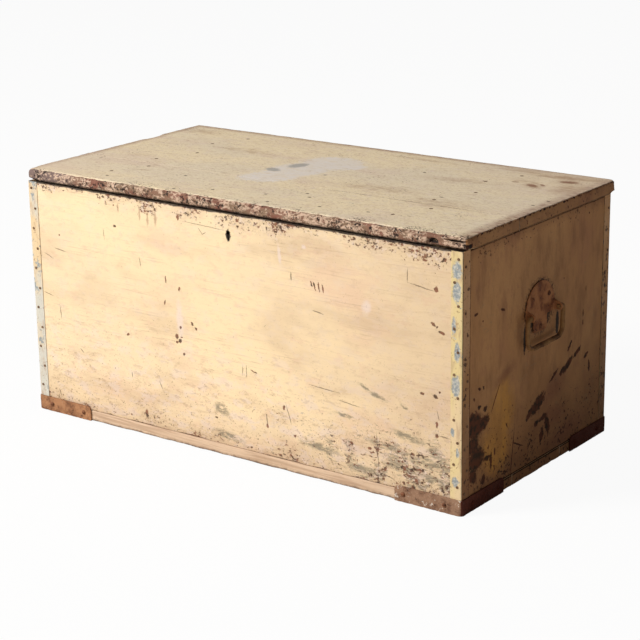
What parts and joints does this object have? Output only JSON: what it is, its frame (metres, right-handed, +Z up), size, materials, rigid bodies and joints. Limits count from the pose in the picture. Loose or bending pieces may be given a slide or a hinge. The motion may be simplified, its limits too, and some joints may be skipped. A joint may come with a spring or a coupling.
{
  "type": "shipping crate",
  "caption": "Painted wooden shipping crate with a hinged lockable lid, sheet-steel corner angles, iron foot brackets and a lift handle on each end.",
  "frame": {"origin": "on the floor under the middle of the crate", "axes": "+X along the front to the right end, +Y from the front to the back, +Z up; the front faces -Y"},
  "size_m": [0.951, 0.481, 0.453],
  "materials": {
    "panel_paint": "worn cream oil paint over wood, matt, grimy towards the foot",
    "end_paint": "worn cream oil paint over wood, brushed upright, with bare patches",
    "lid_paint": "worn greyish beige paint over wood, edges worn to reddish bare wood",
    "bottom_wood": "painted edge over bare, dirty softwood",
    "batten_wood": "bare aged softwood",
    "angle_steel": "pale yellow paint worn to blue-grey sheet steel",
    "bracket_iron": "rusty brown iron with paint flecks",
    "handle_iron": "rusty brown iron with cream paint left in the hollows",
    "nail_steel": "dull grey steel with rust",
    "screw_iron": "rusty slotted screws",
    "hinge_steel": "dull grey steel with rust in the joints",
    "lock_steel": "dull grey steel",
    "lock_brass": "tarnished brass"
  },
  "bodies": {
    "case": {"front_panel": "panel_paint", "back_panel": "panel_paint", "left_end": "end_paint", "right_end": "end_paint", "bottom_board_front": "bottom_wood", "bottom_board_middle": "bottom_wood", "bottom_board_back": "bottom_wood", "corner_angle_front_left": "angle_steel", "corner_angle_front_right": "angle_steel", "corner_angle_back_left": "angle_steel", "corner_angle_back_right": "angle_steel", "corner_bracket_front_left": "bracket_iron", "corner_bracket_front_right": "bracket_iron", "corner_bracket_back_left": "bracket_iron", "corner_bracket_back_right": "bracket_iron", "angle_nails": "nail_steel", "bracket_screws": "screw_iron", "panel_nails": "nail_steel", "bottom_nails": "nail_steel", "handle_plate_right": "handle_iron", "handle_plate_left": "handle_iron", "handle_screws_right": "screw_iron", "handle_screws_left": "screw_iron", "lock_plate": "lock_steel", "lock_case": "lock_steel", "lock_key_pin": "lock_brass", "lock_screws": "lock_steel", "hinge_case_leaf_left": "hinge_steel", "hinge_case_leaf_right": "hinge_steel", "hinge_pin_left": "hinge_steel", "hinge_pin_right": "hinge_steel", "hinge_case_screws": "hinge_steel"},
    "lid": {"lid_front_board": "lid_paint", "lid_back_board": "lid_paint", "lid_batten_left": "batten_wood", "lid_batten_right": "batten_wood", "lid_nails": "nail_steel", "hinge_lid_leaf_left": "hinge_steel", "hinge_lid_leaf_right": "hinge_steel", "hinge_lid_screws": "hinge_steel", "lock_strike": "lock_steel", "strike_screws": "lock_steel"},
    "bail_right": {"handle_bail_right": "handle_iron"},
    "bail_left": {"handle_bail_left": "handle_iron"},
    "bolt": {"lock_bolt": "lock_brass"}
  },
  "joints": [
    {"name": "lid_hinge", "type": "hinge", "parent": "case", "child": "lid", "pos_m": [0, 0.237, 0.4305], "axis": [-1, 0, 0], "range_deg": [0, 110]},
    {"name": "bail_right_swing", "type": "hinge", "parent": "case", "child": "bail_right", "pos_m": [0.469, 0, 0.279], "axis": [0, -1, 0], "range_deg": [-8, 90]},
    {"name": "bail_left_swing", "type": "hinge", "parent": "case", "child": "bail_left", "pos_m": [-0.469, 0, 0.279], "axis": [0, 1, 0], "range_deg": [-8, 90]},
    {"name": "lock_bolt_slide", "type": "slide", "parent": "case", "child": "bolt", "axis": [1, 0, 0], "range_m": [0, 0.009]}
  ]
}
